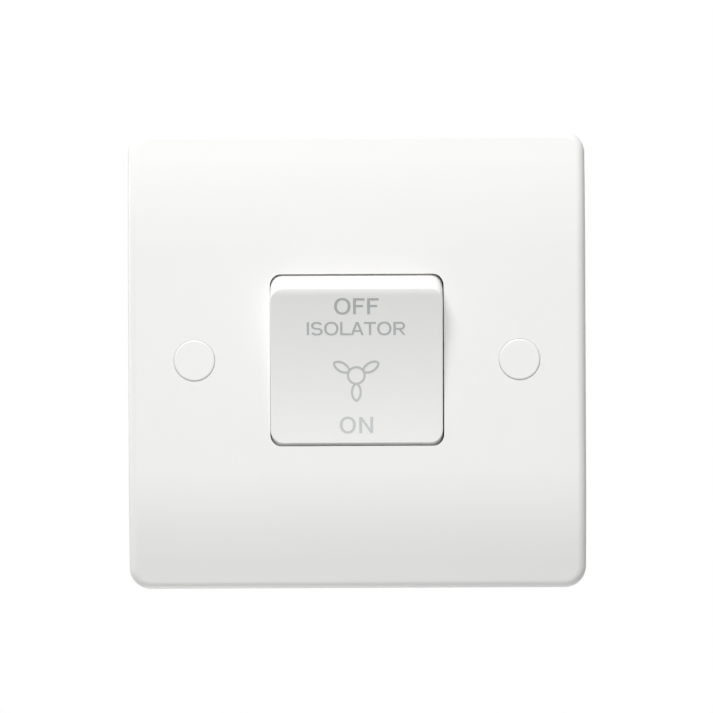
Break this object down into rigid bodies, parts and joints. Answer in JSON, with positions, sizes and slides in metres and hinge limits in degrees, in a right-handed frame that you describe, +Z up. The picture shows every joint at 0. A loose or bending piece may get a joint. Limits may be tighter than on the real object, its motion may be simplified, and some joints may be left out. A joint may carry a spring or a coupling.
{
  "type": "fan isolator switch",
  "caption": "Square white wall plate with a wide rocker that cuts every conductor to an extractor fan, push-in screw caps, and a terminal module behind the face.",
  "frame": {"origin": "centre of the plate on the wall plane, midway between the two fixing screws", "axes": "+X to the right seen from the front, +Z up, +Y into the wall; the front faces -Y"},
  "size_m": [0.085, 0.0331, 0.085],
  "materials": {
    "white_moulding": "satin gloss",
    "grey_moulding": "matt",
    "plated_steel": "zinc plated",
    "brass": "turned and milled",
    "contact_brass": "rolled strip",
    "silver_alloy": "satin",
    "acetal": "satin",
    "spring_steel": "drawn wire"
  },
  "bodies": {
    "plate": {"front_plate": "white_moulding", "screw_cap_left": "white_moulding", "screw_cap_right": "white_moulding", "fixing_screws": "plated_steel", "rocker_frame": "grey_moulding", "switch_base": "grey_moulding", "base_screws": "plated_steel", "terminal_screws": "plated_steel", "fan_terminal_1": "brass", "fan_terminal_2": "brass", "fan_terminal_3": "brass", "supply_terminal_1": "brass", "supply_terminal_2": "brass", "supply_terminal_3": "brass", "fixed_contact_1": "contact_brass", "fixed_contact_2": "contact_brass", "fixed_contact_3": "contact_brass", "contact_cradle_1": "contact_brass", "contact_cradle_2": "contact_brass", "contact_cradle_3": "contact_brass", "fixed_tip_1": "silver_alloy", "fixed_tip_2": "silver_alloy", "fixed_tip_3": "silver_alloy"},
    "rocker": {"rocker": "white_moulding", "plunger_spring_1": "spring_steel", "plunger_spring_2": "spring_steel", "plunger_spring_3": "spring_steel"},
    "contact_1": {"rocking_contact_1": "contact_brass", "moving_tip_1": "silver_alloy"},
    "contact_2": {"rocking_contact_2": "contact_brass", "moving_tip_2": "silver_alloy"},
    "contact_3": {"rocking_contact_3": "contact_brass", "moving_tip_3": "silver_alloy"},
    "plunger_1": {"plunger_1": "acetal"},
    "plunger_2": {"plunger_2": "acetal"},
    "plunger_3": {"plunger_3": "acetal"}
  },
  "joints": [
    {"name": "rocker_pivot", "type": "hinge", "parent": "plate", "child": "rocker", "pos_m": [0, -0.00162, 0], "axis": [-1, 0, 0], "range_deg": [0, 14]},
    {"name": "contact_pivot_1", "type": "hinge", "parent": "plate", "child": "contact_1", "pos_m": [-0.0105, 0.00893, 0], "axis": [1, 0, 0], "range_deg": [0, 19.4]},
    {"name": "contact_pivot_2", "type": "hinge", "parent": "plate", "child": "contact_2", "pos_m": [0, 0.00893, 0], "axis": [1, 0, 0], "range_deg": [0, 19.4]},
    {"name": "contact_pivot_3", "type": "hinge", "parent": "plate", "child": "contact_3", "pos_m": [0.0105, 0.00893, 0], "axis": [1, 0, 0], "range_deg": [0, 19.4]},
    {"name": "plunger_slide_1", "type": "slide", "parent": "rocker", "child": "plunger_1", "axis": [0, 0.9925, 0.1219], "range_m": [-0.0008, 0.00015], "stiffness_N_per_m": 600, "deforming": ["plunger_spring_1"]},
    {"name": "plunger_slide_2", "type": "slide", "parent": "rocker", "child": "plunger_2", "axis": [0, 0.9925, 0.1219], "range_m": [-0.0008, 0.00015], "stiffness_N_per_m": 600, "deforming": ["plunger_spring_2"]},
    {"name": "plunger_slide_3", "type": "slide", "parent": "rocker", "child": "plunger_3", "axis": [0, 0.9925, 0.1219], "range_m": [-0.0008, 0.00015], "stiffness_N_per_m": 600, "deforming": ["plunger_spring_3"]}
  ],
  "couplings": [
    {"joint": "contact_pivot_1", "follows": "rocker_pivot", "ratio": 1.3857},
    {"joint": "contact_pivot_2", "follows": "rocker_pivot", "ratio": 1.3857},
    {"joint": "contact_pivot_3", "follows": "rocker_pivot", "ratio": 1.3857}
  ]
}
